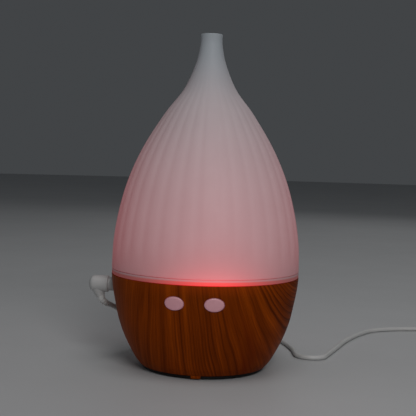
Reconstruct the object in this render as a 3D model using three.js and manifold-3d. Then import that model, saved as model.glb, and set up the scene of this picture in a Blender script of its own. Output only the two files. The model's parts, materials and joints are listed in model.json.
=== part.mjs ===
// Cool mist humidifier: a fluted translucent cover on a wood-grain base, with its low-voltage lead.
// Millimetres, +Z up. The origin is the centre of the footprint, on the surface it stands on.
// The front, with the two buttons, faces -Y. The power inlet is on the -X side.

import * as THREE from 'three';
import { mergeVertices } from 'three/addons/utils/BufferGeometryUtils.js';
import Module from 'manifold-3d';

const wasm = await Module();
wasm.setup();

// ---- Driving dimensions ----

const GAP = 0.3;                 // clearance between pieces that touch
const BODY_R = 65;               // widest radius, at the seam
const HEIGHT = 231;              // table to nozzle tip
const SHELL_WALL = 2.2;
const COVER_WALL = 2.2;
const SHELL_BOTTOM_Z = 2.9;
const SHELL_TOP_Z = 64.9;
const RING_Z = [SHELL_TOP_Z + GAP, 68.8];
const COVER_BOTTOM_Z = RING_Z[1] + GAP;
const ROUND = 40;                // facets round a large ring
const SMALL_ROUND = 8;           // facets round a small cylinder

const PLATE_R = 42.3;
const PLATE_Z = [0.7, SHELL_BOTTOM_Z - GAP];
const FOOT_R = 4;
const FOOT_H = 1.4;
const FEET = {
  front_left: [-22, -29],
  front_right: [22, -29],
  rear_left: [-17, 33],
  rear_right: [17, 33],
};

const TANK_FLOOR_Z = [34, 36.5];
const TANK_FLANGE_Z = [66.8, 68.5];
const POST_RING_R = 34;
const POST_ANGLES = [-25, 40, 140, 205];
const LED_RING_R = 56.5;
const LED_ANGLES = [-78, 12, 102, 192];   // the first is just right of the front
const CLAMP_SCREW_R = 14.1;
const CLAMP_SCREW_ANGLES = [90, 210, 330];
const PROBE_XY = [15, 26];
const LID_LIP_Z = 74;            // top of the rim that centres the outer cover

const BUTTON_X = 12.9;
const BUTTON_Z = 53;
const BUTTON_W = 12.6;
const BUTTON_H = 9;
const BUTTON_PROUD = 0.6;
const BUTTON_TRAVEL = 0.8;

const FAN_Y = 18;
const FAN_SIZE = 40;
const FAN_Z = [6.6, 16.6];
const FAN_HOLE = 16;             // fan screw hole, from the fan's centre along X and Y
const DUCT_Y = 30;

const BOARD_Z = [9, 10.6];
const CHIP_Z = BOARD_Z[1] + GAP; // underside of what stands on the main board
const STANDOFFS = [[-22, -32], [22, -32], [-22, -12], [22, -12]];
const BOARD_SCREWS = [[-22, -12], [22, -12]];

const JACK_Z = 55.4;
const SOCKET_SIZE = 9;
const PLUG_FRONT_X = -64;        // face of the plug's collar
const PLUG_STEP_X = -68.3;       // where the body steps down to the collar
const PLUG_BACK_X = -82;
const PLUG_R = 5.7;
const COLLAR_R = 4.7;
const NECK = { x: -75, z: 51, length: 8, lowR: 3, topR: 4.7, lean: 13 };
const BARREL_R = 2.75;
const BARREL_BORE_R = 1.25;
const BARREL_TIP_X = -56.5;

const CORD_D = 3.5;
const COIL_X = 208;
const COIL_Y = 183;
const COIL_MEAN_R = 19.25;       // 11 cord diameters across at the middle of the turns
const COIL_COLUMNS = 4;
const COIL_LAYERS = 3;
const TIE_T = 0.7;
const COIL_BOTTOM_Z = TIE_T + GAP;
const ADAPTER = { x: 232.5, y: 125, width: 40, length: 50, height: 26, reliefZ: 7 };

// Down out of the plug's neck, then back along the base.
const STRAIN_RELIEF_ROUTE = [
  [-73.75, 0, 46.5], [-73, 0.3, 44.3], [-71.6, 1.8, 42.4], [-70.4, 5, 40.8], [-69.2, 9.8, 39.4],
];

// Sagging from the plug to the table behind the base, then out past the right of it to the coil.
const CORD_ROUTE = [
  [-69, 10.4, 39.1], [-67.6, 14.8, 37.4], [-65.8, 21, 34.8], [-62, 32, 28], [-57, 43.5, 20.5],
  [-51, 54, 12], [-44.5, 63, 5.4], [-37, 71, 2.2], [-28, 79, 1.75], [-14, 89, 1.75],
  [2, 99, 1.75], [18, 107.5, 1.75], [33, 111.5, 1.75], [45, 107.5, 1.75], [52.3, 97.5, 1.75],
  [57, 84.5, 1.75], [60.8, 71, 1.75], [63, 59.5, 1.75], [64.2, 49.3, 1.75], [65.8, 43.4, 1.75],
  [70, 39.3, 1.75], [75.7, 37.7, 1.75], [81.4, 39.3, 1.75], [85.4, 43.4, 1.75], [87, 49, 1.75],
  [89.6, 58.5, 1.75], [93.6, 73.5, 1.75], [97.8, 89, 1.75], [103.3, 109.8, 1.75],
  [114.4, 139.1, 1.75], [126.5, 161, 1.75], [140.1, 171.8, 1.75], [153.5, 177.8, 1.75],
  [167.6, 181.5, 1.75], [176, 187, 1.75], [180.5, 194.5, 1.75], [185.5, 201, 1.9],
];

// ---- Solids ----

// Merges a closed geometry's shared vertices and turns it into a manifold solid.
function solid(geometry) {
  const bare = geometry.index ? geometry.toNonIndexed() : geometry.clone();
  bare.deleteAttribute('normal');
  bare.deleteAttribute('uv');
  const merged = mergeVertices(bare);
  return new wasm.Manifold(new wasm.Mesh({
    numProp: 3,
    vertProperties: new Float32Array(merged.attributes.position.array),
    triVerts: new Uint32Array(merged.index.array),
  }));
}

function box(width, depth, height, x, y, z) {
  return solid(new THREE.BoxGeometry(width, depth, height).translate(x, y, z));
}

// An upright cylinder or cone between two heights.
function pillar(radius, z0, z1, x = 0, y = 0, sides = SMALL_ROUND, topRadius = radius) {
  const geometry = new THREE.CylinderGeometry(topRadius, radius, z1 - z0, sides);
  return solid(geometry.rotateX(Math.PI / 2).translate(x, y, (z0 + z1) / 2));
}

// A cylinder along X.
function barX(radius, x0, x1, y, z, sides = SMALL_ROUND) {
  const geometry = new THREE.CylinderGeometry(radius, radius, x1 - x0, sides);
  return solid(geometry.rotateZ(-Math.PI / 2).translate((x0 + x1) / 2, y, z));
}

// A cylinder along Y.
function barY(radius, y0, y1, x, z, sides = SMALL_ROUND) {
  const geometry = new THREE.CylinderGeometry(radius, radius, y1 - y0, sides);
  return solid(geometry.translate(x, (y0 + y1) / 2, z));
}

// Turns an outline of [radius, height] pairs about Z. The outline runs up the outside.
function revolve(outline, sides = ROUND) {
  const points = outline.map(([r, z]) => new THREE.Vector2(r, z));
  return solid(new THREE.LatheGeometry(points, sides).rotateX(Math.PI / 2));
}

// Turns an outline that returns to its first point.
function revolveClosed(outline, sides = ROUND) {
  return revolve([...outline, outline[0]], sides);
}

// A bar of oval section along Y.
function ovalBar(width, height, y0, y1, x, z) {
  const oval = new THREE.Shape();
  oval.absellipse(0, 0, width / 2, height / 2, 0, 2 * Math.PI);
  const shape = { depth: y1 - y0, bevelEnabled: false, curveSegments: 12 };
  const geometry = new THREE.ExtrudeGeometry(oval, shape);
  return solid(geometry.rotateX(Math.PI / 2).translate(x, y1, z));
}

// A round tube along a smooth curve through points.
function tube(points, diameter, steps, sides = 8) {
  const curve = new THREE.CatmullRomCurve3(points.map((p) => new THREE.Vector3(...p)), false, 'centripetal');
  const section = new THREE.Shape();
  for (let i = 0; i < sides; i += 1) {
    const angle = (2 * Math.PI * i) / sides;
    const x = (diameter / 2) * Math.cos(angle);
    const y = (diameter / 2) * Math.sin(angle);
    if (i === 0) section.moveTo(x, y);
    else section.lineTo(x, y);
  }
  return solid(new THREE.ExtrudeGeometry(section, { steps, extrudePath: curve, bevelEnabled: false }));
}

// Points along a smooth outline through a few [radius, height] pairs.
function smooth(pairs, count) {
  const curve = new THREE.SplineCurve(pairs.map(([r, z]) => new THREE.Vector2(r, z)));
  return curve.getSpacedPoints(count).map((p) => [p.x, p.y]);
}

// The same outline moved sideways, towards the axis when the distance is positive.
function inset(outline, distance) {
  return outline.map(([r, z], i) => {
    const [r0, z0] = outline[Math.max(i - 1, 0)];
    const [r1, z1] = outline[Math.min(i + 1, outline.length - 1)];
    const length = Math.hypot(r1 - r0, z1 - z0);
    const atEnd = i === 0 || i === outline.length - 1;
    const rise = atEnd ? 1 : (z1 - z0) / length;
    const lean = atEnd ? 0 : (r1 - r0) / length;
    return [r - distance * rise, z + distance * lean];
  });
}

function onCircle(radius, degrees) {
  const angle = THREE.MathUtils.degToRad(degrees);
  return [radius * Math.cos(angle), radius * Math.sin(angle)];
}

// ---- Scene ----

const LOOKS = {
  frosted: { color: 0xd8cfd0, roughness: 0.5, metalness: 0 },
  wood: { color: 0x7a3a12, roughness: 0.5, metalness: 0 },
  glow: { color: 0xff5a55, roughness: 0.4, metalness: 0 },
  black: { color: 0x101012, roughness: 0.6, metalness: 0 },
  rubber: { color: 0x1a1a1a, roughness: 0.9, metalness: 0 },
  white: { color: 0xdddcd6, roughness: 0.45, metalness: 0 },
  button: { color: 0xd9b6c0, roughness: 0.4, metalness: 0 },
  steel: { color: 0xa8abae, roughness: 0.35, metalness: 1 },
  brass: { color: 0xb5904a, roughness: 0.35, metalness: 1 },
  copper: { color: 0xa85a30, roughness: 0.45, metalness: 1 },
  aluminium: { color: 0xb9bcc0, roughness: 0.45, metalness: 1 },
  silicone: { color: 0xe4e4e0, roughness: 0.7, metalness: 0 },
  board: { color: 0x1f5a36, roughness: 0.5, metalness: 0 },
  redWire: { color: 0xa01818, roughness: 0.5, metalness: 0 },
  led: { color: 0xf2efe0, roughness: 0.3, metalness: 0 },
};

const group = new THREE.Group();

function add(name, piece, look, position = [0, 0, 0], turn = 0) {
  const mesh = piece.getMesh();
  const geometry = new THREE.BufferGeometry();
  geometry.setAttribute('position', new THREE.BufferAttribute(new Float32Array(mesh.vertProperties), 3));
  geometry.setIndex(new THREE.BufferAttribute(new Uint32Array(mesh.triVerts), 1));
  geometry.computeVertexNormals();
  const node = new THREE.Mesh(geometry, new THREE.MeshStandardMaterial(LOOKS[look]));
  node.name = name;
  node.position.set(...position);
  node.rotation.z = THREE.MathUtils.degToRad(turn);
  group.add(node);
}

// A pan-head screw standing on its head, with the head's underside at z = 0.
function screw(headR, headH, shankR, length) {
  return revolve([
    [0, -headH], [headR, -headH], [headR, 0], [shankR, 0], [shankR, length], [0, length],
  ], SMALL_ROUND);
}

// ---- Covers ----

const COVER_OUTLINE = smooth([
  [BODY_R - 0.1, COVER_BOTTOM_Z], [64.3, 88], [60.7, 110], [54.4, 132], [44.5, 154],
  [30.5, 176.6], [18.2, 193], [10.7, 210], [7.8, 223], [7.6, HEIGHT],
], 14);

// The outer cover: one thin shell, open at the bottom and at the nozzle.
function outerCover() {
  const inner = inset(COVER_OUTLINE, COVER_WALL).reverse();
  add('outer_cover', revolveClosed([...COVER_OUTLINE, ...inner]), 'frosted');
}

// The inner cover lies on the tank's flange and leads the mist up a chimney.
// Its rim centres the outer cover.
function innerCover() {
  const top = TANK_FLANGE_Z[1] + GAP;
  const thick = 1.5;
  add('inner_cover', revolveClosed([
    [43.8, top - 4.8], [45.2, top - 4.8], [45.2, top], [60.2, top], [60.2, LID_LIP_Z],
    [58.7, LID_LIP_Z], [58.7, top + thick], [46, top + thick], [42, 72], [20, 83], [11.5, 91],
    [8.6, 100], [8, 118], [6.3, 118], [6.9, 100], [10, 90], [19.2, 81.4], [41.5, 70.3], [43.8, top],
  ], 32), 'frosted');
}

// ---- Tank, light ring and light board ----

function waterTank() {
  const [floor0, floor1] = TANK_FLOOR_Z;
  const [flange0, flange1] = TANK_FLANGE_Z;
  let tank = revolveClosed([
    [8, floor0], [12.2, floor0], [12.2, 29.5], [16, 29.5], [16, floor0], [42, floor0], [45, floor1],
    [48, 62], [52, flange0], [61.4, flange0], [61.4, flange1], [49, flange1],
    [46, 62], [43, 38.5], [41, floor1], [8, floor1],
  ]);
  tank = tank.add(pillar(8.2, floor0, 64, 0, DUCT_Y, 16));
  tank = tank.subtract(pillar(6.2, floor0 - 1, 65, 0, DUCT_Y, 16));
  for (const degrees of POST_ANGLES) {
    const [x, y] = onCircle(POST_RING_R, degrees);
    tank = tank.add(pillar(3.5, 7.2, floor0 + 1, x, y));
    tank = tank.subtract(pillar(1.8, 7, 16.5, x, y));
  }
  for (const degrees of CLAMP_SCREW_ANGLES) {
    const [x, y] = onCircle(CLAMP_SCREW_R, degrees);
    tank = tank.subtract(pillar(1.3, 29, 32.3, x, y));
  }
  for (const degrees of [60, 180, 300]) {
    const [x, y] = onCircle(LED_RING_R, degrees);
    tank = tank.add(pillar(1.2, 63.3, flange0 + 0.5, x, y));
  }
  tank = tank.subtract(pillar(1.8, floor0 - 1, floor1 + 1, ...PROBE_XY));
  add('water_tank', tank, 'frosted');
}

// The light ring carries the LEDs' light to the seam.
function lightRing() {
  const [z0, z1] = RING_Z;
  add('light_ring', revolveClosed([
    [60.2, 62.5], [62.3, 62.5], [62.3, z0], [BODY_R - 0.2, z0],
    [BODY_R - 0.2, z1], [61.7, z1], [61.7, 66.5], [60.2, 66.5],
  ]), 'glow');
}

function ledBoard() {
  add('led_board', revolveClosed([[53.2, 61.8], [59.8, 61.8], [59.8, 63], [53.2, 63]], 32), 'white');
  LED_ANGLES.forEach((degrees, i) => {
    const [x, y] = onCircle(LED_RING_R, degrees);
    add(`led_${i + 1}`, box(3.5, 3.5, 1.6, 0, 0, 0.8), 'led', [x, y, 63 + GAP], degrees);
  });
}

// ---- Transducer ----

function transducer() {
  add('transducer_seal', revolveClosed([
    [8.6, 29.8], [11.9, 29.8], [11.9, 33.7], [8.6, 33.7],
    [8.6, 32.7], [10.4, 32.7], [10.4, 31], [8.6, 31],
  ], 24), 'silicone');
  add('transducer_disc', pillar(10.1, 31.3, 32.4, 0, 0, 24), 'steel');
  let clamp = revolveClosed([
    [7, 27], [16, 27], [16, 29.2], [11.6, 29.2], [11.6, 29.5], [8.8, 29.5], [7, 29.2],
  ], 24);
  CLAMP_SCREW_ANGLES.forEach((degrees, i) => {
    const [x, y] = onCircle(CLAMP_SCREW_R, degrees);
    clamp = clamp.subtract(pillar(1.3, 26, 30, x, y));
    add(`clamp_screw_${i + 1}`, screw(1.8, 1.2, 1, 5), 'steel', [x, y, 27 - GAP]);
  });
  add('transducer_clamp', clamp, 'aluminium');
  const [x, y] = PROBE_XY;
  add('water_probe', pillar(1.5, 31, 45, x, y), 'steel');
}

// ---- Base ----

const SHELL_OUTLINE = smooth([
  [43.8, SHELL_BOTTOM_Z], [48.1, 8.5], [54.7, 21], [59.4, 33.5],
  [62.2, 46], [64.2, 57], [BODY_R, SHELL_TOP_Z],
], 8);

function baseShell() {
  const inner = inset(SHELL_OUTLINE, SHELL_WALL).reverse();
  let shell = revolveClosed([...SHELL_OUTLINE, ...inner]);
  const keep = revolve([[0, 0], ...SHELL_OUTLINE.map(([r, z]) => [r - 0.6, z]), [0, SHELL_TOP_Z]]);
  for (const side of [-1, 1]) {
    shell = shell.add(box(1.6, 12, 13, side * 21.7, -54.8, BUTTON_Z).intersect(keep));
    shell = shell.subtract(ovalBar(BUTTON_W + 0.6, BUTTON_H + 0.6, -BODY_R, -57, side * BUTTON_X, BUTTON_Z));
  }
  shell = shell.subtract(barX(COLLAR_R + 0.2, -BODY_R - 1, -BODY_R + 5, 0, JACK_Z, 24));
  shell = shell.add(box(6.4, 1.8, 3.1, 0, -42.7, 2.45));
  add('base_shell', shell, 'wood');
}

function basePlate() {
  const [z0, z1] = PLATE_Z;
  let plate = revolve([[0, z0], [PLATE_R - 0.6, z0], [PLATE_R, z0 + 0.6], [PLATE_R, z1], [41, z1],
    [41, 6.2], [38.9, 6.2], [38.9, z1], [0, z1]]);
  for (const degrees of POST_ANGLES) {
    const [x, y] = onCircle(POST_RING_R, degrees);
    plate = plate.add(pillar(4.6, z1 - 0.5, 6.9, x, y));
    plate = plate.subtract(pillar(3.3, z0 - 1, 3.1, x, y));
    plate = plate.subtract(pillar(1.8, 3, 8, x, y));
  }
  for (const x of [-FAN_HOLE, FAN_HOLE]) {
    for (const y of [-FAN_HOLE, FAN_HOLE]) {
      plate = plate.add(pillar(2.8, z1 - 0.5, FAN_Z[0] - GAP, x, FAN_Y + y));
    }
    plate = plate.subtract(pillar(1.5, z1, FAN_Z[0], x, FAN_Y + x));
  }
  for (const [x, y] of STANDOFFS) plate = plate.add(pillar(2.6, z1 - 0.5, BOARD_Z[0] - GAP, x, y));
  for (const [x, y] of BOARD_SCREWS) plate = plate.subtract(pillar(1.3, z1 + 0.4, 9, x, y));
  for (const [x, y] of Object.values(FEET)) {
    plate = plate.subtract(pillar(FOOT_R + 0.4, z0 - 1, FOOT_H + GAP, x, y, 16));
  }
  const slotPitch = 5.6;
  for (let i = -2; i <= 2; i += 1) {
    const reach = Math.sqrt(15 ** 2 - (i * slotPitch) ** 2);
    plate = plate.subtract(box(3, 2 * reach, 5, i * slotPitch, FAN_Y, z1 - 1));
  }
  plate = plate.subtract(box(7, 2, 8, 0, -42.4, 2));
  add('base_plate', plate, 'black');
}

function feetAndScrews() {
  for (const [corner, [x, y]] of Object.entries(FEET)) {
    add(`foot_${corner}`, pillar(FOOT_R, 0, FOOT_H, 0, 0, 16), 'rubber', [x, y, 0]);
  }
  POST_ANGLES.forEach((degrees, i) => {
    const [x, y] = onCircle(POST_RING_R, degrees);
    add(`base_screw_${i + 1}`, screw(2.9, 1.6, 1.5, 12), 'steel', [x, y, 2.7]);
  });
}

// ---- Buttons ----

function buttons() {
  const proud = revolve([[0, 0], ...SHELL_OUTLINE.map(([r, z]) => [r + BUTTON_PROUD, z]), [0, SHELL_TOP_Z]]);
  const sides = { mist: -1, light: 1 };
  for (const [name, side] of Object.entries(sides)) {
    const x = side * BUTTON_X;
    let cap = ovalBar(BUTTON_W, BUTTON_H, -BODY_R - 1, -55.6, x, BUTTON_Z).intersect(proud);
    cap = cap.add(ovalBar(BUTTON_W + 2.4, BUTTON_H + 2.4, -56.2, -55, x, BUTTON_Z));
    cap = cap.add(barY(1.7, -55.5, -52.2, x, BUTTON_Z, 12));
    add(`${name}_button`, cap, 'button');
    let tactile = box(6, 3.5, 6, x, -52.25, BUTTON_Z);
    tactile = tactile.subtract(barY(2, -55, -52.2 + BUTTON_TRAVEL + 0.2, x, BUTTON_Z, 12));
    add(`${name}_switch`, tactile, 'black');
  }
  add('button_board', box(41, 1.2, 12, 0, -49.6, BUTTON_Z), 'board');
}

// ---- Main board ----

function mainBoard() {
  const [z0, z1] = BOARD_Z;
  let board = box(52, 28, z1 - z0, 0, -22, (z0 + z1) / 2);
  BOARD_SCREWS.forEach(([x, y], i) => {
    board = board.subtract(pillar(1.4, z0 - 1, z1 + 1, x, y));
    const downward = screw(2.4, 1.4, 1, 6).rotate([180, 0, 0]);
    add(`board_screw_${i + 1}`, downward, 'steel', [x, y, CHIP_Z]);
  });
  add('main_board', board, 'board');
  const bobbin = [[0, 0], [5, 0], [5, 1.4], [3.9, 1.8], [3.9, 7.2], [5, 7.6], [5, 9], [0, 9]];
  add('driver_coil', revolve(bobbin, 16), 'copper', [11, -19, CHIP_Z]);
  const can = [[0, 0], [4, 0], [4, 1.2], [3.7, 1.6], [4, 2], [4, 11], [0, 11]];
  add('driver_capacitor', revolve(can, 16), 'black', [-3, -31, CHIP_Z]);
  let transistor = box(10, 4.4, 9, 0, 0, 4.5);
  transistor = transistor.add(box(10, 1.3, 15.2, 0, 1.55, 7.6));
  transistor = transistor.subtract(barY(1.8, 0, 3, 0, 12.2, 12));
  add('driver_transistor', transistor, 'black', [-15, -28, CHIP_Z]);
  let sink = box(18, 8, 14, 0, 0, 7);
  for (const x of [-6.4, -3.2, 0, 3.2, 6.4]) sink = sink.subtract(box(1.8, 6.4, 15, x, 1, 7.5));
  add('heat_sink', sink, 'aluminium', [-15, -21.4, CHIP_Z]);
  add('control_chip', box(9.9, 6, 1.6, 0, 0, 0.8), 'black', [11, -31, CHIP_Z]);
  let connector = box(5, 10, 6, 0, 0, 3);
  connector = connector.subtract(box(3.6, 8.6, 6, 0, 0, 4.2));
  add('board_connector', connector, 'white', [22, -22, CHIP_Z]);
}

// ---- Fan ----

function fan() {
  const [z0, z1] = FAN_Z;
  const hubTop = z0 + 1.4;
  let frame = box(FAN_SIZE, FAN_SIZE, z1 - z0, 0, 0, (z0 + z1) / 2);
  frame = frame.subtract(pillar(18.6, z0 - 1, z1 + 1, 0, 0, 24));
  frame = frame.add(pillar(8.6, z0, hubTop, 0, 0, 16));
  frame = frame.add(pillar(3.2, z0, z0 + 5.4));
  for (const degrees of [90, 210, 330]) {
    const strut = box(12, 4, hubTop - z0, 13.2, 0, (z0 + hubTop) / 2);
    frame = frame.add(strut.rotate([0, 0, degrees]));
  }
  frame = frame.subtract(pillar(2.4, z0 - 1, z1));
  for (const x of [-FAN_HOLE, FAN_HOLE]) {
    for (const y of [-FAN_HOLE, FAN_HOLE]) frame = frame.subtract(pillar(1.7, z0 - 1, z1 + 1, x, y));
  }
  add('fan_frame', frame, 'black', [0, FAN_Y, 0]);
  [-FAN_HOLE, FAN_HOLE].forEach((offset, i) => {
    const downward = screw(2.3, 1.4, 1.2, 13).rotate([180, 0, 0]);
    add(`fan_screw_${i + 1}`, downward, 'steel', [offset, FAN_Y + offset, z1 + GAP]);
  });
  const bearing = [[1.3, 6.9], [2.1, 6.9], [2.1, 12.5], [1.3, 12.5]];
  add('fan_bearing', revolveClosed(bearing, 16), 'brass', [0, FAN_Y, 0]);
  const winding = [[3.6, 8.4], [6.5, 8.4], [6.5, 13], [3.6, 13]];
  add('fan_stator', revolveClosed(winding, 16), 'copper', [0, FAN_Y, 0]);
}

function fanRotor() {
  let rotor = revolve([
    [0, 8.4], [1.15, 8.4], [1.15, 14.5], [7, 14.5], [7, 8.7], [8.4, 8.7], [8.4, 16], [0, 16],
  ], 24);
  const bladeCount = 7;
  for (let i = 0; i < bladeCount; i += 1) {
    const blade = box(9.4, 8, 1, 0, 0, 0).rotate([40, 0, 0]).translate([12.5, 0, 12.2]);
    rotor = rotor.add(blade.rotate([0, 0, (360 * i) / bladeCount]));
  }
  rotor = rotor.subtract(revolveClosed([[1.15, 8], [7, 8], [7, 14.5], [1.15, 14.5]], 24));
  add('fan_rotor', rotor, 'black', [0, FAN_Y, 0]);
}

// The duct gathers the fan's air into the channel that stands in the tank.
function airDuct() {
  const z0 = FAN_Z[1] + GAP;
  const top = 24;
  const offset = DUCT_Y - FAN_Y;
  let duct = pillar(19.6, z0, top, 0, 0, 24).add(pillar(7.6, top - 3, TANK_FLOOR_Z[0] - GAP, 0, offset, 16));
  duct = duct.subtract(pillar(18, z0 - 1, top - 1.6, 0, 0, 24));
  duct = duct.subtract(pillar(6, top - 4, TANK_FLOOR_Z[0], 0, offset, 16));
  add('air_duct', duct, 'white', [0, FAN_Y, 0]);
}

// ---- Power inlet and wires ----

function powerInlet() {
  let socket = box(9.5, SOCKET_SIZE, SOCKET_SIZE, -55.25, 0, JACK_Z);
  socket = socket.add(barX(SOCKET_SIZE / 2, -63.4, -59, 0, JACK_Z, 20));
  socket = socket.subtract(barX(3.2, -64, -52, 0, JACK_Z, 20));
  socket = socket.add(barX(1, -62, -51.5, 0, JACK_Z, 12));
  add('dc_socket', socket, 'black');
}

function wires() {
  const toDisc = [[-3, -13, 11.2], [-3, -11, 15], [-2.5, -7.5, 20], [-1.5, -5, 25], [0, -0.8, 28],
    [0, 0, 30.8]];
  const toFan = [[22, -22, 12.6], [22, -21, 18], [19, -15, 20], [13, -7, 16.5], [10, -2.8, 11]];
  const socketUnderside = JACK_Z - SOCKET_SIZE / 2 - GAP;
  const fromInlet = [[-55, 0, socketUnderside], [-54.4, -2, 44], [-51, -12, 30], [-43, -22, 18],
    [-32, -26, 12.4], [-24.5, -26, 11.9]];
  add('transducer_wire', tube(toDisc, 1.6, 10, 6), 'white');
  add('fan_wire', tube(toFan, 1.6, 10, 6), 'redWire');
  add('dc_wire', tube(fromInlet, 1.8, 12, 6), 'redWire');
}

// ---- Power lead ----

function plug() {
  const nose = 2.4;
  const outline = [
    [0, PLUG_BACK_X], [PLUG_R - nose, PLUG_BACK_X], [PLUG_R - 0.7, PLUG_BACK_X + 0.7],
    [PLUG_R, PLUG_BACK_X + nose], [PLUG_R, PLUG_STEP_X], [0, PLUG_STEP_X],
  ];
  const recess = 3;
  let body = revolve(outline, 20).rotate([0, 90, 0]).translate([0, 0, JACK_Z]);
  body = body.add(barX(COLLAR_R, PLUG_STEP_X - 0.1, PLUG_FRONT_X, 0, JACK_Z, 20));
  const neck = pillar(NECK.lowR, -NECK.length / 2, NECK.length / 2, 0, 0, 16, NECK.topR);
  body = body.add(neck.rotate([0, -NECK.lean, 0]).translate([NECK.x, 0, NECK.z]));
  body = body.subtract(barX(3, PLUG_FRONT_X - recess, PLUG_FRONT_X + 1, 0, JACK_Z, 20));
  add('dc_plug', body, 'white');
  const barrel = barX(BARREL_R, PLUG_FRONT_X - recess + GAP, BARREL_TIP_X, 0, JACK_Z, 16);
  const bore = barX(BARREL_BORE_R, PLUG_FRONT_X - recess + 1, BARREL_TIP_X + 0.5, 0, JACK_Z, 12);
  add('plug_barrel', barrel.subtract(bore), 'steel');
  add('plug_strain_relief', tube(STRAIN_RELIEF_ROUTE, 5, 8), 'white');
}

function powerCord() {
  add('power_cord', tube(CORD_ROUTE, CORD_D, 64), 'white');
  const half = (COIL_COLUMNS * CORD_D) / 2;
  const inner = COIL_MEAN_R - half;
  const outer = COIL_MEAN_R + half;
  const top = COIL_BOTTOM_Z + COIL_LAYERS * CORD_D + 0.1;
  const ring = [[inner, COIL_BOTTOM_Z], [outer, COIL_BOTTOM_Z], [outer, top], [inner, top]];
  add('cord_coil', revolveClosed(ring, 32), 'white', [COIL_X, COIL_Y, 0]);
  const hole = 2 * half + 2 * GAP;
  const tieTop = top + GAP + TIE_T;
  let tie = box(hole + 2 * TIE_T, 5, tieTop, -COIL_MEAN_R, 0, tieTop / 2);
  tie = tie.subtract(box(hole, 6, top + GAP - TIE_T, -COIL_MEAN_R, 0, (top + GAP + TIE_T) / 2));
  add('cord_tie', tie, 'black', [COIL_X, COIL_Y, 0]);
}

// The wall adapter at the far end, with its moulded strain relief and two blades.
function powerAdapter() {
  const { x, y, width, length, height, reliefZ } = ADAPTER;
  const corner = 5;
  const bevel = 1.5;
  const w = width / 2 - bevel;
  const l = length / 2 - bevel;
  const face = new THREE.Shape();
  face.moveTo(-w + corner, -l);
  face.absarc(w - corner, -l + corner, corner, -Math.PI / 2, 0);
  face.absarc(w - corner, l - corner, corner, 0, Math.PI / 2);
  face.absarc(-w + corner, l - corner, corner, Math.PI / 2, Math.PI);
  face.absarc(-w + corner, -l + corner, corner, Math.PI, 1.5 * Math.PI);
  const shape = {
    depth: height - 2 * bevel,
    bevelSize: bevel,
    bevelThickness: bevel,
    bevelSegments: 1,
    curveSegments: 4,
  };
  let adapter = solid(new THREE.ExtrudeGeometry(face, shape).translate(0, 0, bevel));
  const relief = new THREE.CylinderGeometry(2.4, 3.6, 20, SMALL_ROUND);
  adapter = adapter.add(solid(relief.translate(0, length / 2 + 8.2, reliefZ)));
  const bladeGap = 12.7;
  const bladeDepth = 4;
  for (const side of [-1, 1]) {
    const offset = (side * bladeGap) / 2;
    const slot = box(1.5 + 2 * GAP, 2 * bladeDepth, 6.3 + 2 * GAP, offset, -length / 2, height / 2);
    adapter = adapter.subtract(slot);
    const bladeMiddle = -length / 2 - 8 + (bladeDepth - GAP) / 2;
    const blade = box(1.5, 16 + bladeDepth - GAP, 6.3, offset, bladeMiddle, height / 2);
    const name = side < 0 ? 'adapter_blade_left' : 'adapter_blade_right';
    add(name, blade, 'steel', [x, y, 0]);
  }
  add('power_adapter', adapter, 'white', [x, y, 0]);
}

outerCover();
innerCover();
waterTank();
lightRing();
ledBoard();
transducer();
baseShell();
basePlate();
feetAndScrews();
buttons();
mainBoard();
fan();
fanRotor();
airDuct();
powerInlet();
wires();
plug();
powerCord();
powerAdapter();

export default group;
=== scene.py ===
"""Looks for the cool mist humidifier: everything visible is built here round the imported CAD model.

Metres, +Z up, in the CAD model's own frame: the front faces -Y and the power inlet is on the -X side.
"""
import json
import math

import bmesh
import bpy
from mathutils import Matrix, Vector

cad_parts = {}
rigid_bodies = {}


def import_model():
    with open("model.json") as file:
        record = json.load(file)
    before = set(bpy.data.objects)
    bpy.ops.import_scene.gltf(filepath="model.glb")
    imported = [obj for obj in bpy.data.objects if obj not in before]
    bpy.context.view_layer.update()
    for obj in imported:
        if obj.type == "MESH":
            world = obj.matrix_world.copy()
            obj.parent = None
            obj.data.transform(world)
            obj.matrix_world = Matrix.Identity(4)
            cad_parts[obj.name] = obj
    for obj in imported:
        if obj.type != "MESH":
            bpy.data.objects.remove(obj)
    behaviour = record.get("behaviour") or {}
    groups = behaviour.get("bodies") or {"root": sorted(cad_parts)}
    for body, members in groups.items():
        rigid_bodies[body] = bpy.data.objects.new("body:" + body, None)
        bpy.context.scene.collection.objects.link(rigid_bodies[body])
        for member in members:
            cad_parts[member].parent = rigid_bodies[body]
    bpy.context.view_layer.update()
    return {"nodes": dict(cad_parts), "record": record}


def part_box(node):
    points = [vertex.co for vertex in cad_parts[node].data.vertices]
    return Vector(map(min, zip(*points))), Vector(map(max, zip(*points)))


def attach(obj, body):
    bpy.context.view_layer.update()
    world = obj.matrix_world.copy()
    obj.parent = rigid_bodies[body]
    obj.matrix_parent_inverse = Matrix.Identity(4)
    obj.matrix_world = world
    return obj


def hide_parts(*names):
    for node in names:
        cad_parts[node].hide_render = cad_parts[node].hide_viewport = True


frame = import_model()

MM = 0.001
TAU = 2 * math.pi

# ---------------------------------------------------------------- sizes, from the frame

COVER_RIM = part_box("outer_cover")[0].z
ADAPTER_LOW, ADAPTER_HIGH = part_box("power_adapter")
COIL_LOW, COIL_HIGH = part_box("cord_coil")
TIE_LOW, TIE_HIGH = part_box("cord_tie")

WALL = 2.2 * MM  # thickness of the cover and of the bowl
FLUTES = 32
FLUTE_DEPTH = 0.36 * MM
CORD_D = 3.5 * MM
ADAPTER_CORD_Z = 7 * MM  # height at which the cord goes into the wall adapter


def middle_mm(node):
    """The middle of a node's box, in millimetres."""
    low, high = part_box(node)
    return (low + high) / 2 / MM


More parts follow.
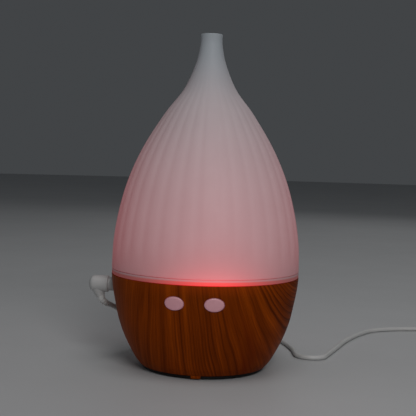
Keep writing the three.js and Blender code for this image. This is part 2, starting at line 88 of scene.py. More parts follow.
def bearing_of(node):
    """Where a node sits round Z: 0 at the front, growing towards +X."""
    middle = middle_mm(node)
    return math.atan2(middle.x, -middle.y)


def add_object(name, data):
    """Puts a new object in the scene."""
    added = bpy.data.objects.new(name, data)
    bpy.context.scene.collection.objects.link(added)
    return added


LED_BEARING = bearing_of("led_1")
JACK_Z = middle_mm("plug_barrel").z


# ---------------------------------------------------------------- camera

def make_camera():
    """The photograph's viewing angle: near the table, slightly right of the front, with a slight roll."""
    azimuth = math.radians(6)
    distance = 0.657
    height = 0.146
    data = bpy.data.cameras.new("camera")
    data.sensor_width = 36
    data.lens = 81.8
    data.clip_start, data.clip_end = 0.02, 20
    camera = add_object("camera", data)
    camera.location = (distance * math.sin(azimuth), -distance * math.cos(azimuth), height)
    pitch, roll, pan = math.radians(-3.03), math.radians(1.6), math.radians(-0.06)
    turn = Matrix.Rotation(azimuth + pan, 4, "Z") @ Matrix.Rotation(math.radians(90) + pitch, 4, "X")
    camera.rotation_euler = (turn @ Matrix.Rotation(roll, 4, "Z")).to_euler()
    bpy.context.scene.camera = camera


make_camera()


# ---------------------------------------------------------------- mesh helpers

def new_piece(name, verts, faces, body, slot, smooth_angle=35.0):
    """A mesh piece in the model's frame, riding on a body."""
    mesh = bpy.data.meshes.new(name)
    mesh.from_pydata([tuple(v) for v in verts], [], faces)
    mesh.validate()
    piece = add_object(name, mesh)
    finish_mesh(piece, smooth_angle)
    piece.data.materials.append(MATERIALS[slot])
    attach(piece, body)
    return piece


def clean(mesh):
    """Merges doubled points and turns every face outwards."""
    bm = bmesh.new()
    bm.from_mesh(mesh)
    bmesh.ops.remove_doubles(bm, verts=bm.verts, dist=1e-7)
    bmesh.ops.recalc_face_normals(bm, faces=bm.faces)
    bm.to_mesh(mesh)
    bm.free()


def finish_mesh(piece, smooth_angle):
    """A clean mesh, shaded smooth with its sharp edges kept."""
    clean(piece.data)
    for polygon in piece.data.polygons:
        polygon.use_smooth = True
    piece.data.set_sharp_from_angle(angle=math.radians(smooth_angle))


def smoothstep(low, high, value):
    """0 below low, 1 above high, and a smooth rise between them."""
    t = min(max((value - low) / (high - low), 0), 1)
    return t * t * (3 - 2 * t)


def catmull(points, per_span):
    """Points along a smooth curve through the given ones."""
    p = [Vector(q) for q in points]
    p = [2 * p[0] - p[1]] + p + [2 * p[-1] - p[-2]]
    out = []
    for i in range(1, len(p) - 2):
        for k in range(per_span):
            t = k / per_span
            a, b, c, d = p[i - 1], p[i], p[i + 1], p[i + 2]
            out.append(0.5 * (2 * b + (c - a) * t + (2 * a - 5 * b + 4 * c - d) * t * t
                              + (3 * b - a - 3 * c + d) * t * t * t))
    out.append(p[-2])
    return out


def rounded(outline, radii, steps=4):
    """A closed (r, z) outline with each corner turned into an arc of its own radius."""
    count = len(outline)
    out = []
    for i, corner in enumerate(outline):
        here = Vector(corner)
        before = Vector(outline[i - 1]) - here
        after = Vector(outline[(i + 1) % count]) - here
        reach = min(radii[i], before.length * 0.45, after.length * 0.45)
        if reach < 1e-6:
            out.append(tuple(here))
            continue
        start, end = here + before.normalized() * reach, here + after.normalized() * reach
        for k in range(steps + 1):
            t = k / steps
            out.append(tuple(start * (1 - t) ** 2 + here * 2 * t * (1 - t) + end * t * t))
    return out


def rounded_mm(outline, radii, steps=4):
    """rounded() for sizes given in millimetres."""
    return rounded([(r * MM, z * MM) for r, z in outline], [r * MM for r in radii], steps)


def bands(loops, count, closed=False):
    """Faces between loops of count points, from each loop to the next, and back to the first if closed."""
    faces = []
    for i in range(loops if closed else loops - 1):
        a, b = i * count, (i + 1) % loops * count
        for k in range(count):
            m = (k + 1) % count
            faces.append((a + k, a + m, b + m, b + k))
    return faces


def caps(loops, count):
    """The two faces that close the first loop and the last."""
    last = (loops - 1) * count
    return [tuple(range(count - 1, -1, -1)), tuple(last + k for k in range(count))]


def loft(rows):
    """Vertices and faces of a solid through rows of equal length, closed at both ends."""
    count = len(rows[0])
    return [v for row in rows for v in row], bands(len(rows), count) + caps(len(rows), count)


def lathe(name, outline, body, slot, sides=128, swell=None, smooth_angle=35.0, place=Matrix.Identity(4)):
    """Turns a closed (r, z) outline about Z, then moves it to its place.

    swell(angle, index) may add to the radius of the outline's point of that index.
    """
    verts = []
    for s in range(sides):
        angle = TAU * s / sides
        for i, (r, z) in enumerate(outline):
            reach = r + (swell(angle, i) if swell else 0)
            verts.append(place @ Vector((reach * math.cos(angle), reach * math.sin(angle), z)))
    return new_piece(name, verts, bands(sides, len(outline), closed=True), body, slot, smooth_angle)


def tube_mesh(path, radii, sides):
    """Vertices and faces of a round tube along path, with a radius at each point."""
    path = [Vector(p) for p in path]
    turns = [TAU * k / sides for k in range(sides)]
    rows = []
    normal = None
    for i, p in enumerate(path):
        tangent = (path[min(i + 1, len(path) - 1)] - path[max(i - 1, 0)]).normalized()
        if normal is None:
            normal = tangent.orthogonal().normalized()
        normal = (normal - tangent * normal.dot(tangent)).normalized()
        side = tangent.cross(normal)
        rows.append([p + (normal * math.cos(a) + side * math.sin(a)) * radii[i] for a in turns])
    return loft(rows)


def apply_modifiers(piece):
    """Bakes the piece's modifiers into its mesh."""
    bpy.context.view_layer.update()
    depsgraph = bpy.context.evaluated_depsgraph_get()
    mesh = bpy.data.meshes.new_from_object(piece.evaluated_get(depsgraph), depsgraph=depsgraph)
    piece.modifiers.clear()
    piece.data = mesh


def cut(piece, cutter, operation="DIFFERENCE"):
    """Cuts one solid from another, or joins them, and removes the tool."""
    change = piece.modifiers.new("cut", "BOOLEAN")
    change.operation = operation
    change.solver = "EXACT"
    change.object = cutter
    apply_modifiers(piece)
    bpy.data.objects.remove(cutter)


def scratch(verts, faces):
    """A temporary solid for cutting and joining."""
    mesh = bpy.data.meshes.new("tool")
    mesh.from_pydata([tuple(v) for v in verts], [], faces)
    clean(mesh)
    return add_object("tool", mesh)


def rod(start, end, radius, sides):
    """A scratch cylinder between two points, in metres."""
    return scratch(*tube_mesh([start, end], [radius] * 2, sides))


def pillar(radius, z0, z1, x, y, sides):
    """An upright scratch cylinder, in millimetres."""
    return rod((x * MM, y * MM, z0 * MM), (x * MM, y * MM, z1 * MM), radius * MM, sides)


def box_tool(width, depth, height, x, y, z):
    """A scratch box in millimetres, centred on a point."""
    verts = [((x + sx * width / 2) * MM, (y + sy * depth / 2) * MM, (z + sz * height / 2) * MM)
             for sx in (-1, 1) for sy in (-1, 1) for sz in (-1, 1)]
    faces = [(0, 1, 3, 2), (4, 6, 7, 5), (0, 4, 5, 1), (2, 3, 7, 6), (0, 2, 6, 4), (1, 5, 7, 3)]
    return scratch(verts, faces)


def oval_tool(width, height, y0, y1, x, z, sides=72):
    """A scratch bar of oval section along Y, in millimetres."""
    turns = [TAU * k / sides for k in range(sides)]
    rows = [[((x + width / 2 * math.cos(a)) * MM, y * MM, (z + height / 2 * math.sin(a)) * MM) for a in turns]
            for y in (y0, y1)]
    return scratch(*loft(rows))


def soften(tool, width, segments):
    """Rounds a tool's edges."""
    edge = tool.modifiers.new("edge", "BEVEL")
    edge.width, edge.segments = width, segments
    apply_modifiers(tool)


def smooth_join(piece, voxel, rounds, slot):
    """Remeshes a joined solid evenly and relaxes it, so that its parts flow into each other."""
    remesh = piece.modifiers.new("even", "REMESH")
    remesh.mode, remesh.voxel_size = "VOXEL", voxel
    relax = piece.modifiers.new("relax", "SMOOTH")
    relax.factor, relax.iterations = 0.5, rounds
    apply_modifiers(piece)
    finish_mesh(piece, 60)
    piece.data.materials.clear()
    piece.data.materials.append(MATERIALS[slot])


def rounded_rectangle(width, length, corner, steps=6):
    """Corner points of a rounded rectangle about the origin, counter-clockwise."""
    out = []
    for cx, cy, start in ((1, 1, 0), (-1, 1, 90), (-1, -1, 180), (1, -1, 270)):
        for k in range(steps + 1):
            a = math.radians(start + 90 * k / steps)
            out.append((cx * (width / 2 - corner) + corner * math.cos(a),
                        cy * (length / 2 - corner) + corner * math.sin(a)))
    return out


def ribbed_taper(count, wide, narrow, groove, ribs, last_rib, bulge=1.0):
    """Radii of a strain relief in metres: a taper, with shallow grooves between its ribs."""
    radii = []
    for i in range(count):
        t = i / (count - 1)
        depth = groove * max(0.0, math.cos(t * TAU * ribs)) if 0.2 < t < last_rib else 0
        radii.append((wide - (wide - narrow) * t ** bulge - depth) * MM)
    return radii


# ---------------------------------------------------------------- materials

class Net:
    """A short way to write a material's node tree. Vectors are the piece's own coordinates in millimetres."""

    def __init__(self, name):
        self.material = bpy.data.materials.new(name)
        self.material.use_nodes = True
        self.tree = self.material.node_tree
        self.tree.nodes.clear()
        self.shader = self.tree.nodes.new("ShaderNodeBsdfPrincipled")
        output = self.tree.nodes.new("ShaderNodeOutputMaterial")
        self.tree.links.new(self.shader.outputs["BSDF"], output.inputs["Surface"])
        coordinates = self.tree.nodes.new("ShaderNodeTexCoord")
        self.mm = self.scale(coordinates.outputs["Object"], 1 / MM)
        self.x, self.y, self.z = self.split(self.mm)

    def put(self, socket, value):
        """Links a node's output to the socket, or gives it a plain value."""
        if isinstance(value, bpy.types.NodeSocket):
            self.tree.links.new(value, socket)
        else:
            socket.default_value = value

    def math(self, operation, a, b=0.0, c=0.0):
        node = self.tree.nodes.new("ShaderNodeMath")
        node.operation = operation
        for socket, value in zip(node.inputs, (a, b, c)):
            self.put(socket, value)
        return node.outputs[0]

    def chain(self, operation, values):
        """Applies a math operation to all the values in turn."""
        total = values[0]
        for value in values[1:]:
            total = self.math(operation, total, value)
        return total

    def plus(self, *values):
        return self.chain("ADD", values)

    def times(self, *values):
        return self.chain("MULTIPLY", values)

    def minus(self, a, b):
        return self.math("SUBTRACT", a, b)

    def line(self, value, slope, start):
        """slope times value, plus start."""
        return self.math("MULTIPLY_ADD", value, slope, start)

    def vector(self, operation, a, b=None, scale=None):
        node = self.tree.nodes.new("ShaderNodeVectorMath")
        node.operation = operation
        self.put(node.inputs[0], a)
        if b is not None:
            self.put(node.inputs[1], b)
        if scale is not None:
            self.put(node.inputs["Scale"], scale)
        return node.outputs[0]

    def scale(self, value, factor):
        return self.vector("SCALE", value, scale=factor)

    def split(self, value):
        node = self.tree.nodes.new("ShaderNodeSeparateXYZ")
        self.put(node.inputs[0], value)
        return node.outputs[0], node.outputs[1], node.outputs[2]

    def join(self, x, y, z):
        node = self.tree.nodes.new("ShaderNodeCombineXYZ")
        for socket, value in zip(node.inputs, (x, y, z)):
            self.put(socket, value)
        return node.outputs[0]

    def noise(self, where, scale=1.0, detail=2.0, roughness=0.5):
        node = self.tree.nodes.new("ShaderNodeTexNoise")
        self.put(node.inputs["Vector"], where)
        for key, value in (("Scale", scale), ("Detail", detail), ("Roughness", roughness)):
            node.inputs[key].default_value = value
        return node.outputs["Fac"]

    def range(self, value, a, b, to_a=0.0, to_b=1.0):
        """A smooth change from to_a, where value is a, to to_b, where it is b."""
        node = self.tree.nodes.new("ShaderNodeMapRange")
        node.interpolation_type = "SMOOTHSTEP"
        self.put(node.inputs["Value"], value)
        for key, number in (("From Min", a), ("From Max", b), ("To Min", to_a), ("To Max", to_b)):
            node.inputs[key].default_value = number
        return node.outputs[0]

    def ramp(self, value, stops):
        node = self.tree.nodes.new("ShaderNodeValToRGB")
        self.put(node.inputs[0], value)
        band = node.color_ramp
        while len(band.elements) < len(stops):
            band.elements.new(0.5)
        for element, (place, colour) in zip(band.elements, stops):
            element.position = place
            element.color = (*colour, 1)
        return node.outputs[0]

    def mix(self, amount, a, b):
        """Colour a, turning into colour b as amount goes from 0 to 1."""
        node = self.tree.nodes.new("ShaderNodeMix")
        node.data_type = "RGBA"
        self.put(node.inputs["Factor"], amount)
        self.put(node.inputs["A"], a if isinstance(a, bpy.types.NodeSocket) else (*a, 1))
        self.put(node.inputs["B"], b if isinstance(b, bpy.types.NodeSocket) else (*b, 1))
        return node.outputs["Result"]

    def bump(self, height, strength, distance=0.0001):
        node = self.tree.nodes.new("ShaderNodeBump")
        node.inputs["Strength"].default_value = strength
        node.inputs["Distance"].default_value = distance
        self.put(node.inputs["Height"], height)
        self.tree.links.new(node.outputs[0], self.shader.inputs["Normal"])

    def set(self, **values):
        """Sets inputs of the shader, named with _ for a space."""
        for key, value in values.items():
            name = key.replace("_", " ")
            if isinstance(value, tuple) and len(value) == 3:
                value = (*value, 1)
            self.put(self.shader.inputs[name], value)

    def painted(self):
        """The base colour as it is set so far."""
        return self.shader.inputs["Base Color"].links[0].from_socket

    def glow(self, colour):
        """Painted glow: the colour that the surface gives off, though it is no lamp."""
        self.set(Emission_Color=colour, Emission_Strength=1.0)

    def bearing(self):
        """Angle round Z in radians, 0 at the front and growing towards +X."""
        return self.math("ARCTAN2", self.x, self.times(self.y, -1.0))

    def lamps(self, tightness):
        """The mask of the painted LED glow: 1 in front of the lit front and rear LEDs, falling off round the
        ring.
        """
        wave = self.math("COSINE", self.times(self.minus(self.bearing(), LED_BEARING), 2.0))
        return self.math("EXPONENT", self.times(self.minus(wave, 1.0), tightness))


def plastic(name, colour, roughness, grain=0.06, coat=0.0, variation=0.05, pitch=0.9, shine=0.5):
    """Moulded plastic or rubber: unevenness of tone and gloss, and a grain that is finer as pitch grows."""
    net = Net(name)
    broad = net.noise(net.mm, 0.05, 3.0)
    fine = net.noise(net.mm, pitch, 3.0, 0.6)
    darker = tuple(c * (1 - variation) for c in colour)
    lighter = tuple(min(c * (1 + variation), 1) for c in colour)
    net.set(Base_Color=net.ramp(broad, [(0.3, darker), (0.7, lighter)]))
    net.set(Roughness=net.range(net.noise(net.mm, 0.25, 3.0), 0.2, 0.8, roughness - 0.06, roughness + 0.08))
    net.set(Coat_Weight=coat, Coat_Roughness=0.2, Specular_IOR_Level=shine)
    net.bump(fine, grain)
    return net


def frosted_cover_material():
    """Frosted white plastic with painted light: a painted pink glow from the seam, redder over the lit LEDs
    and fading upwards, a base colour tinted cooler towards the top as painted cool light from above, and
    darker towards the rim as painted shade.
    """
    net = plastic("frosted cover", (0.49, 0.475, 0.49), 0.5, grain=0.05, variation=0.02, shine=0.2)
    height = net.minus(net.z, COVER_RIM / MM)

    def fall(length):
        """1 at the rim, and smaller by a factor of e at each length above it."""
        return net.math("EXPONENT", net.times(height, -1 / length))

    # plain: the base colour, tinted a cooler blue-grey towards the top as painted cool light from above
    plain = net.mix(net.range(net.z, 176.0, 222.0), net.painted(), (0.39, 0.43, 0.46))
    # painted shade: the base colour is made up to 28% darker towards the rim
    net.set(Base_Color=net.scale(plain, net.line(fall(20.0), -0.28, 1.0)))
    # painted glow: the pale, pink and red parts below are glow painted on the cover in place of the LEDs'
    # light shining through it
    spot = net.lamps(1.9)
    far = net.math("EXPONENT", net.times(net.math("POWER", net.times(height, 0.01), 3.0), -1.0))
    painted_pale_glow = net.times(far, 0.158, net.line(fall(9.0), -0.42, 1.0))
    painted_pink_haze = net.times(fall(38.0), 0.13, spot)
    rim = net.times(fall(8.5), 0.38, spot)
    lit = net.vector("ADD", net.scale((1.0, 0.10, 0.11), rim), net.scale((1.0, 0.12, 0.14), painted_pink_haze))
    net.glow(net.vector("ADD", lit, net.scale((1.0, 0.10, 0.12), painted_pale_glow)))
    return net.material


def glow_ring_material():
    """Frosted light guide with a painted glow: red over the lit LEDs, dim between them, and paler along its
    top edge, where the painted glow is weaker and pinker.
    """
    net = plastic("light ring", (0.20, 0.185, 0.175), 0.45, grain=0.03, variation=0.03, shine=0.15)
    paler = net.range(net.z, 67.2, 68.1)
    net.set(Base_Color=net.mix(paler, net.painted(), (0.35, 0.34, 0.35)))
    # painted glow: red light painted on the ring, strongest over the lit LEDs and weaker along the top edge
    strength = net.times(net.line(net.lamps(2.2), 0.85, 0.09), net.line(paler, -0.4, 1.0))
    net.glow(net.scale(net.mix(paler, (1.0, 0.012, 0.014), (1.0, 0.10, 0.11)), strength))
    return net.material


def wood_print_material():
    """Printed wood grain, upright at the front and left, and swept down into nested arches on the right.

    Its lines follow a field: the distance across the grain in millimetres, about 0 at the front and growing
    towards the arches.
    """
    net = Net("wood print")
    round_r = 62.0   # the bowl's radius where distances round it are measured
    heart = 92.0     # bearing of the arches' middle, in degrees
    reach = round_r * math.radians(heart) + 0.5
    spread = 24.0    # how wide the arches' heads are
    sweep = 0.00363  # how fast the lines bend over below the top
    top = 66.0

    def bell(value, centre, width):
        """1 at centre, falling off on both sides."""
        part = net.times(net.minus(value, centre), 1 / width)
        return net.math("EXPONENT", net.times(net.times(part, part), -1.0))

    turn = net.minus(net.bearing(), math.radians(heart))
    away = net.math("ABSOLUTE", turn)
    away = net.math("MINIMUM", away, net.minus(TAU, away))
    radius = net.math("SQRT", net.plus(net.times(net.x, net.x), net.times(net.y, net.y)))
    upright = net.times(net.x, net.minus(1.0, net.math("DIVIDE", round_r, radius)))
    span = net.minus(net.times(away, round_r), upright)
    below = net.minus(top, net.z)
    arch = net.times(net.math("COSH", net.times(span, 1 / spread)), 2 * math.exp(-reach / spread))
    arch = net.plus(arch, net.times(below, sweep))
    field = net.times(net.math("LOGARITHM", arch, math.e), -spread)
    field = net.plus(field, net.times(bell(net.minus(reach, span), -50.0, 22.0), below, 0.18))
    waver = net.noise(net.vector("MULTIPLY", net.mm, (1.0, 1.0, 0.45)), 0.035, 2.0)
    field = net.plus(field, net.times(net.minus(waver, 0.5), 3.0))
    side = net.math("SINE", turn)

    def lines(pitch, along, sharp, seed):
        """Growth lines of uneven width across the field."""
        spot = net.join(net.times(field, 1 / pitch), net.times(net.z, along), net.line(side, 1.6, seed))
        return net.range(net.noise(spot, 1.0, 2.0, 0.5), 0.5 - sharp, 0.5 + sharp)

    def rings(pitch, wander):
        """Regular growth rings, each darkening slowly and ending sharply."""
        shift = net.times(net.noise(net.mm, 0.03, 2.0), wander)
        ring = net.math("FRACT", net.plus(net.times(field, 1 / pitch), shift))
        return net.times(net.math("POWER", ring, 2.2), net.range(ring, 0.86, 1.0, 1.0, 0.0))

    broad = lines(9.0, 0.005, 0.24, 3.1)
    middle = lines(3.4, 0.008, 0.20, 7.7)
    fine = lines(1.2, 0.012, 0.22, 12.3)
    pores = lines(0.5, 0.05, 0.16, 21.9)
    light, mid, dark = (0.340, 0.058, 0.0008), (0.235, 0.038, 0.0006), (0.145, 0.0225, 0.0004)
    stain, deep, deepest = (0.125, 0.0130, 0.0004), (0.055, 0.0075, 0.0004), (0.040, 0.0055, 0.0004)
    tone = net.plus(net.times(broad, 0.36), net.times(middle, 0.32), net.times(fine, 0.32))
    base = net.ramp(tone, [(0.12, dark), (0.48, mid), (0.88, light)])

    patches = net.noise(net.vector("MULTIPLY", net.mm, (1, 1, 0.4)), 0.03, 1.0)
    smear = net.times(bell(field, 22.0, 7.0), net.range(net.z, 24.0, 54.0, 1.0, 0.35),
                      net.range(broad, 0.1, 0.6))
    faint = net.times(rings(2.6, 1.6), net.range(patches, 0.45, 0.65))
    close = net.times(rings(1.75, 0.8), bell(field, -2.0, 17.0), net.range(net.z, 34.0, 54.0, 1.0, 0.25))
    strong = net.plus(*[bell(field, centre, width) for centre, width in
                        ((-9.8, 0.55), (5.8, 0.7), (8.2, 0.5), (16.0, 0.7), (43.4, 1.0))])
    arches = net.times(rings(3.3, 1.2), net.range(field, 37.0, 45.0), net.range(net.z, 6.0, 34.0, 0.35, 1.0))
    for place, strength, colour in ((smear, 0.85, stain), (faint, 0.35, deep), (close, 0.75, deep),
                                    (strong, 0.5, deep), (arches, 0.9, deepest),
                                    (net.range(pores, 0.62, 0.95), 0.25, deep)):
        base = net.mix(net.times(place, strength), base, colour)
    net.set(Base_Color=base, Roughness=net.range(tone, 0.1, 0.9, 0.52, 0.44), Specular_IOR_Level=0.03)
    net.bump(net.minus(net.times(fine, 0.4), net.times(pores, 0.6)), 0.1)
    # painted glow: faint red light from the LEDs, painted on the bowl's top edge and strongest over the lit
    # LEDs
    painted_seam_glow = net.times(net.range(net.z, 56.0, 66.0), net.times(net.lamps(2.0), 0.05))
    net.glow(net.scale((1.0, 0.10, 0.01), painted_seam_glow))
    return net.material


def button_material():
    """Translucent white keys, given a pink base colour and a faint painted pink glow, both standing in for
    the red light from behind them.
    """
    # the base colour is pink in place of white: painted red light from behind
    net = plastic("button", (0.573, 0.314, 0.328), 0.34, grain=0.04, coat=0.1, variation=0.02)
    # dim, bright: the levels of the painted glow
    dim, bright = (0.070, 0.022, 0.034), (0.085, 0.030, 0.044)
    net.glow(net.ramp(net.noise(net.mm, 0.2, 1.0), [(0.3, dim), (0.7, bright)]))
    return net.material


def wound_material(name, colour):
    """Fine turns of enamelled wire round an upright bobbin."""
    net = Net(name)
    wire = 0.45  # from turn to turn, in millimetres
    turn = net.math("SINE", net.times(net.z, TAU / wire))
    # between: painted shade, the wire's colour darkened in the grooves between the turns
    between = tuple(c * 0.45 for c in colour)
    net.set(Base_Color=net.ramp(net.line(turn, 0.5, 0.5), [(0.0, between), (0.6, colour)]))
    net.set(Metallic=0.85, Roughness=net.range(net.noise(net.mm, 0.8), 0.2, 0.8, 0.26, 0.40))
    net.bump(turn, 0.5, 0.0002)
    return net.material


def brushed_material(name, colour, roughness=0.3):
    """Metal with fine streaks round Z."""
    net = Net(name)
    streaks = net.noise(net.vector("MULTIPLY", net.mm, (1.0, 1.0, 14.0)), 0.35, 4.0, 0.6)
    net.set(Base_Color=net.ramp(streaks, [(0.3, tuple(c * 0.86 for c in colour)), (0.7, colour)]))
    net.set(Metallic=1.0, Roughness=net.range(streaks, 0.3, 0.7, roughness - 0.06, roughness + 0.1))
    net.bump(streaks, 0.06)
    return net.material


def board_material():
    """Green solder mask with paler tracks and a few tinned pads."""
    net = Net("circuit board")
    cell = net.vector("FLOOR", net.vector("MULTIPLY", net.mm, (0.55, 0.55, 0.55)))
    dots = net.tree.nodes.new("ShaderNodeTexWhiteNoise")
    dots.noise_dimensions = "3D"
    net.put(dots.inputs["Vector"], cell)
    tracks = net.range(dots.outputs["Value"], 0.62, 0.66)
    pads = net.range(dots.outputs["Value"], 0.95, 0.97)
    green = net.mix(net.times(tracks, 0.8), (0.010, 0.075, 0.026), (0.022, 0.14, 0.05))
    net.set(Base_Color=net.mix(pads, green, (0.6, 0.6, 0.58)), Metallic=net.times(pads, 0.9))
    net.set(Roughness=net.range(net.noise(net.mm, 0.4), 0.2, 0.8, 0.28, 0.4))
    net.bump(tracks, 0.2)
    return net.material


def plain_plastic(*args, **settings):
    """plastic() as a finished material."""
    return plastic(*args, **settings).material


MATERIALS = {
    "frosted_cover": frosted_cover_material(),
    "clear_frost": plain_plastic("clear frost", (0.62, 0.59, 0.60), 0.38, grain=0.05, variation=0.03),
    "glow_ring": glow_ring_material(),
    "wood_print": wood_print_material(),
    "black_plastic": plain_plastic("black plastic", (0.007, 0.0065, 0.0065), 0.5, grain=0.25, variation=0.15,
                                   pitch=2.4, shine=0.2),
    "foot_rubber": plain_plastic("foot rubber", (0.022, 0.021, 0.020), 0.8, grain=0.3, variation=0.2,
                                 pitch=3.0),
    "white_plastic": plain_plastic("white plastic", (0.46, 0.46, 0.455), 0.36, grain=0.05, coat=0.1,
                                   variation=0.03),
    "lead_plastic": plain_plastic("lead plastic", (0.54, 0.54, 0.53), 0.42, grain=0.08, variation=0.04),
    "button_plastic": button_material(),
    "bright_steel": brushed_material("bright steel", (0.60, 0.61, 0.62)),
    "bearing_brass": brushed_material("brass", (0.72, 0.55, 0.26)),
    "copper_winding": wound_material("copper winding", (0.72, 0.30, 0.12)),
    "heat_aluminium": brushed_material("aluminium", (0.72, 0.73, 0.74), 0.4),
    "silicone": plain_plastic("silicone", (0.70, 0.70, 0.67), 0.6, grain=0.08, variation=0.03),
    "circuit_board": board_material(),
    "red_wire": plain_plastic("wire insulation", (0.42, 0.018, 0.016), 0.4, grain=0.08, variation=0.06),
    "led_lens": plain_plastic("led lens", (0.75, 0.62, 0.50), 0.15, grain=0.02, coat=0.5, variation=0.04),
}
SLOT_OF = {part["node"]: part["material_slot"] for part in frame["record"]["subparts"]}


# ---------------------------------------------------------------- power cord

# From the end of the plug's strain relief, down to the table behind the base, and out past its right side.
CORD_ROUTE = [
    (-69, 10.4, 39.1), (-67.6, 14.8, 37.4), (-65.8, 21, 34.8), (-62, 32, 28), (-57, 43.5, 20.5),
    (-51, 54, 12), (-44.5, 63, 5.4), (-37, 71, 2.2), (-28, 79, 1.75), (-14, 89, 1.75),
    (2, 99, 1.75), (18, 107.5, 1.75), (33, 111.5, 1.75), (45, 107.5, 1.75), (52.3, 97.5, 1.75),
    (57, 84.5, 1.75), (60.8, 71, 1.75), (63, 59.5, 1.75), (64.2, 49.3, 1.75), (65.8, 43.4, 1.75),
    (70, 39.3, 1.75), (75.7, 37.7, 1.75), (81.4, 39.3, 1.75), (85.4, 43.4, 1.75), (87, 49, 1.75),
    (89.6, 58.5, 1.75), (93.6, 73.5, 1.75), (97.8, 89, 1.75), (103.3, 109.8, 1.75),
    (114.4, 139.1, 1.75), (126.5, 161, 1.75), (140.1, 171.8, 1.75), (153.5, 177.8, 1.75),
    (167.6, 181.5, 1.75), (176, 187, 1.75), (180.5, 194.5, 1.75), (185.5, 201, 1.9), (196, 206.6, 2.5),
]
RELIEF_ROUTE = [(-73.75, 0, 46.5), (-73, 0.3, 44.3), (-71.6, 1.8, 42.4), (-70.4, 5, 40.8), (-69.2, 9.8, 39.4)]

COIL_CENTRE = (COIL_LOW + COIL_HIGH) / 2
COIL_OUTER = (COIL_HIGH.x - COIL_LOW.x) / 2 - CORD_D / 2  # centreline of the outermost turn
COIL_Z = COIL_LOW.z + CORD_D / 2

# Degrees wound, clockwise from the far side, at which the cord steps a column in (-1) or out (+1).
COIL_STEPS = [(300, 345, -1), (660, 705, -1), (1020, 1065, -1),
              (1640, 1695, 1), (2000, 2055, 1), (2360, 2415, 1)]
COIL_RISES = [(1345, 1405), (2670, 2730)]  # where it climbs onto the layer below
COIL_END = 2970                            # leaves at the right, heading forwards


def coil_points():
    """The wound part, a point every 6 degrees: four columns, two layers and one more turn on top."""
    out = []
    for wound in range(0, COIL_END + 1, 6):
        r = COIL_OUTER + CORD_D * sum(way * smoothstep(a, b, wound) for a, b, way in COIL_STEPS)
        z = COIL_Z + CORD_D * sum(smoothstep(a, b, wound) for a, b in COIL_RISES)
        angle = math.radians(90 - wound)
        out.append(Vector((COIL_CENTRE.x + r * math.cos(angle), COIL_CENTRE.y + r * math.sin(angle), z)))
    return out


def cord_points():
    """The whole centreline: the route, the coil, and the tail into the adapter's relief.

    The first two and the last two points of the coil only steer the curves that join it.
    """
    route_steps, tail_steps = 5, 4
    coil = coil_points()
    route = [Vector(p) * MM for p in CORD_ROUTE]
    start = [Vector(RELIEF_ROUTE[-1]) * MM * 0.5 + Vector(RELIEF_ROUTE[-2]) * MM * 0.5]
    lead_in = catmull(start + route + coil[:2], route_steps)[:-route_steps - 1]
    end = coil[-1]
    adapter_x = (ADAPTER_LOW.x + ADAPTER_HIGH.x) / 2
    relief_end = Vector((adapter_x, ADAPTER_HIGH.y, ADAPTER_CORD_Z))
    tail = catmull([coil[-2], end, end.lerp(relief_end, 0.5) + Vector((0, 0, -0.3 * MM)),
                    relief_end, relief_end - Vector((0, 20 * MM, 0))], tail_steps)[tail_steps + 1:]
    return lead_in + coil + tail


CORD_PATH = cord_points()
cord_verts, cord_faces = tube_mesh(CORD_PATH, [CORD_D / 2] * len(CORD_PATH), 14)
cord_piece = new_piece("lead_cord", cord_verts, cord_faces, "power_lead", "lead_plastic")
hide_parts("power_cord", "cord_coil")


# ---------------------------------------------------------------- outer cover

# Outsides of the cover and of the bowl, as in the CAD model: radius and height in millimetres, upwards.
COVER_PROFILE = [(64.9, 69.1), (64.3, 88), (60.7, 110), (54.4, 132), (44.5, 154),
                 (30.5, 176.6), (18.2, 193), (10.7, 210), (7.8, 223), (7.6, 231)]
SHELL_PROFILE = [(43.8, 2.9), (48.1, 8.5), (54.7, 21), (59.4, 33.5), (62.2, 46), (64.2, 57), (65, 64.9)]


def profile(pairs, per_span):
    """A smooth outline in metres through (r, z) pairs in millimetres."""
    return [tuple(p) for p in catmull([Vector(q) * MM for q in pairs], per_span)]


def inset(outline, distance):
    """The outline moved towards the axis, level at both ends."""
    out = []
    for i, (r, z) in enumerate(outline):
        r0, z0 = outline[max(i - 1, 0)]
        r1, z1 = outline[min(i + 1, len(outline) - 1)]
        length = math.hypot(r1 - r0, z1 - z0)
        at_end = i in (0, len(outline) - 1)
        rise = 1 if at_end else (z1 - z0) / length
        lean = 0 if at_end else (r1 - r0) / length
        out.append((r - distance * rise, z + distance * lean))
    return out


def shell_outline(outer, wall, lip):
    """A closed outline of a thin shell with rounded rims."""
    inner = inset(outer, wall)[::-1]
    outline = outer + inner
    radii = [0] * len(outline)
    for corner in (0, len(outer) - 1, len(outer), len(outline) - 1):
        radii[corner] = lip
    return rounded(outline, radii)


def make_outer_cover():
    """One thin frosted shell with shallow flutes outside, which fade out at the rim and below the nozzle."""
    outer = profile(COVER_PROFILE, 11)
    outline = shell_outline(outer, WALL, 0.3 * MM)
    top = max(range(len(outline)), key=lambda i: outline[i][1])
    start, end = (72 * MM, 88 * MM), (156 * MM, 206 * MM)  # heights over which the flutes come in and fade
    weights = [smoothstep(*start, z) * (1 - smoothstep(*end, z)) if i < top else 0
               for i, (r, z) in enumerate(outline)]

    def flute(angle, index):
        valley = (0.5 + 0.5 * math.cos(FLUTES * angle)) ** 1.7
        return -FLUTE_DEPTH * valley * weights[index]

    cover = lathe("cover_shell", outline, "outer_cover", "frosted_cover", FLUTES * 10, flute, 50)
    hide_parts("outer_cover")


make_outer_cover()


# ---------------------------------------------------------------- inner cover, tank and light ring

BASE_SCREWS = [middle_mm("base_screw_" + str(i)).xy for i in (1, 2, 3, 4)]


